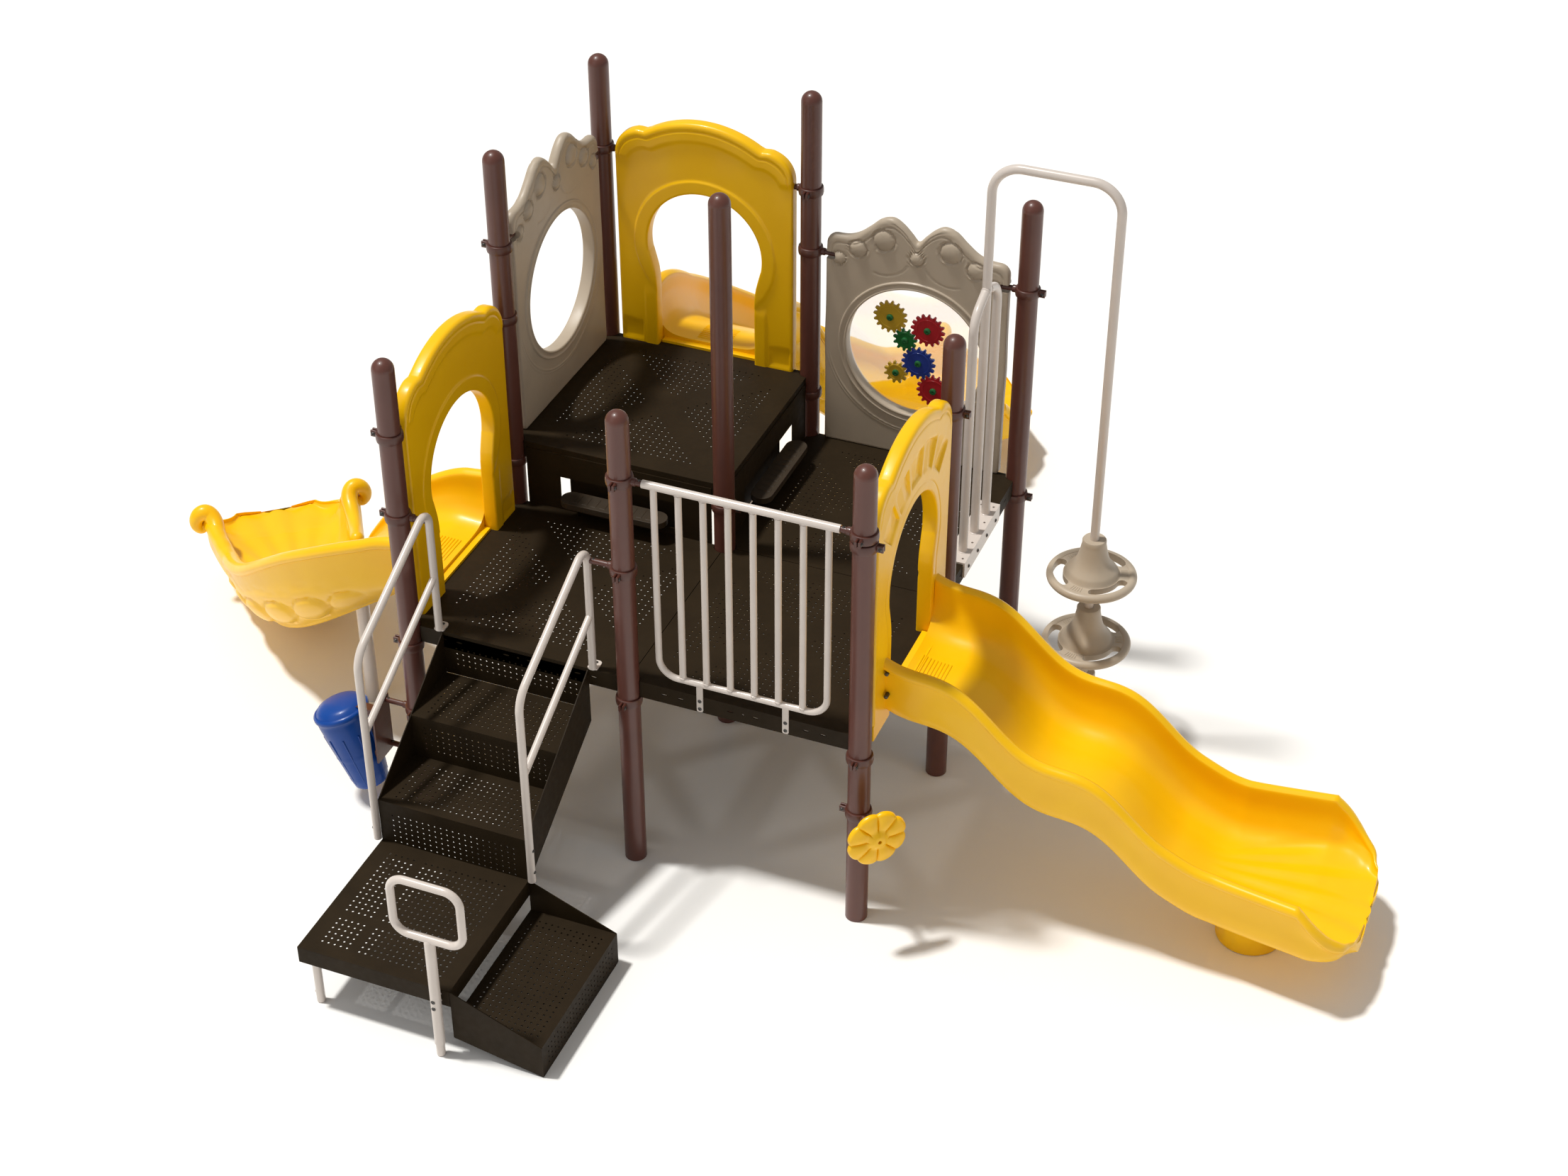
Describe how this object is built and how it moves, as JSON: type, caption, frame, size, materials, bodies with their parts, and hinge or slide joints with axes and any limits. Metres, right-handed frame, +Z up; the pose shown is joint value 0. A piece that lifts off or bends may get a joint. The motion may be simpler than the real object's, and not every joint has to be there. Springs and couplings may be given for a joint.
{
  "type": "playground play structure",
  "caption": "Playground play structure with decks, posts, slides, stairs, panels, a spinning gear panel and a pod climber.",
  "frame": {"origin": "centre of the front left post's foot, on the ground", "axes": "+X along the front row of posts towards the wave slide, +Y from the stairs to the back, +Z up"},
  "size_m": [5.5935, 5.1747, 2.655],
  "materials": {
    "post_paint": "satin",
    "clamp_paint": "satin",
    "deck_coating": "satin coated",
    "plank_plastic": "satin",
    "yellow_plastic": "gloss, moulded",
    "beige_plastic": "satin, moulded",
    "beige_paint": "satin",
    "blue_plastic": "gloss",
    "clear_sheet": "clear polycarbonate",
    "axle_steel": "brushed",
    "blue_gear_plastic": "gloss",
    "green_gear_plastic": "gloss",
    "yellow_gear_plastic": "gloss",
    "red_gear_plastic": "gloss",
    "hub_plastic": "gloss"
  },
  "bodies": {
    "structure": {"front_left_post": "post_paint", "front_middle_post": "post_paint", "front_right_post": "post_paint", "left_middle_post": "post_paint", "centre_post": "post_paint", "right_middle_post": "post_paint", "back_left_post": "post_paint", "back_middle_post": "post_paint", "back_right_post": "post_paint", "post_caps": "post_paint", "deck_collars": "clamp_paint", "panel_clamps": "clamp_paint", "rail_clamps": "clamp_paint", "front_left_deck": "deck_coating", "front_right_deck": "deck_coating", "back_right_deck": "deck_coating", "high_deck": "deck_coating", "deck_stiffeners": "deck_coating", "front_riser": "deck_coating", "side_riser": "deck_coating", "stair_flight": "deck_coating", "transfer_platform": "deck_coating", "side_step": "deck_coating", "step_planks": "plank_plastic", "left_arch_panel": "yellow_plastic", "right_arch_panel": "yellow_plastic", "back_arch_panel": "yellow_plastic", "wave_slide": "yellow_plastic", "left_slide": "yellow_plastic", "back_slide": "yellow_plastic", "wave_slide_foot": "yellow_plastic", "left_slide_supports": "yellow_plastic", "back_slide_supports": "yellow_plastic", "flower_disc": "yellow_plastic", "round_window_panel": "beige_plastic", "gear_panel": "beige_plastic", "climber_pods": "beige_plastic", "left_handrail": "beige_paint", "right_handrail": "beige_paint", "grab_loop": "beige_paint", "barrier_rail": "beige_paint", "platform_legs": "beige_paint", "climber_frame": "beige_paint", "drum": "blue_plastic", "drum_bracket": "clamp_paint", "clear_window": "clear_sheet", "gear_axles": "axle_steel"},
    "blue_gear_set": {"blue_gear": "blue_gear_plastic", "blue_hub": "hub_plastic"},
    "green_gear_set": {"green_gear": "green_gear_plastic", "green_hub": "hub_plastic"},
    "upper_yellow_gear_set": {"upper_yellow_gear": "yellow_gear_plastic", "upper_yellow_hub": "hub_plastic"},
    "upper_red_gear_set": {"upper_red_gear": "red_gear_plastic", "upper_red_hub": "hub_plastic"},
    "lower_yellow_gear_set": {"lower_yellow_gear": "yellow_gear_plastic", "lower_yellow_hub": "hub_plastic"},
    "lower_red_gear_set": {"lower_red_gear": "red_gear_plastic", "lower_red_hub": "hub_plastic"}
  },
  "joints": [
    {"name": "blue_spin", "type": "hinge", "parent": "structure", "child": "blue_gear_set", "pos_m": [1.473, 1.919, 1.3874], "axis": [0, 1, 0], "continuous": true},
    {"name": "green_spin", "type": "hinge", "parent": "structure", "child": "green_gear_set", "pos_m": [1.40939, 1.919, 1.48999], "axis": [0, 1, 0], "continuous": true},
    {"name": "upper_yellow_spin", "type": "hinge", "parent": "structure", "child": "upper_yellow_gear_set", "pos_m": [1.33998, 1.919, 1.58875], "axis": [0, 1, 0], "continuous": true},
    {"name": "upper_red_spin", "type": "hinge", "parent": "structure", "child": "upper_red_gear_set", "pos_m": [1.50993, 1.919, 1.55679], "axis": [0, 1, 0], "continuous": true},
    {"name": "lower_yellow_spin", "type": "hinge", "parent": "structure", "child": "lower_yellow_gear_set", "pos_m": [1.37199, 1.919, 1.3213], "axis": [0, 1, 0], "continuous": true},
    {"name": "lower_red_spin", "type": "hinge", "parent": "structure", "child": "lower_red_gear_set", "pos_m": [1.5451, 1.919, 1.26402], "axis": [0, 1, 0], "continuous": true}
  ],
  "couplings": [
    {"joint": "green_spin", "follows": "blue_spin", "ratio": -1.4545},
    {"joint": "upper_yellow_spin", "follows": "blue_spin", "ratio": 1},
    {"joint": "upper_red_spin", "follows": "blue_spin", "ratio": 1},
    {"joint": "lower_yellow_spin", "follows": "blue_spin", "ratio": -1.4545},
    {"joint": "lower_red_spin", "follows": "blue_spin", "ratio": -1}
  ]
}
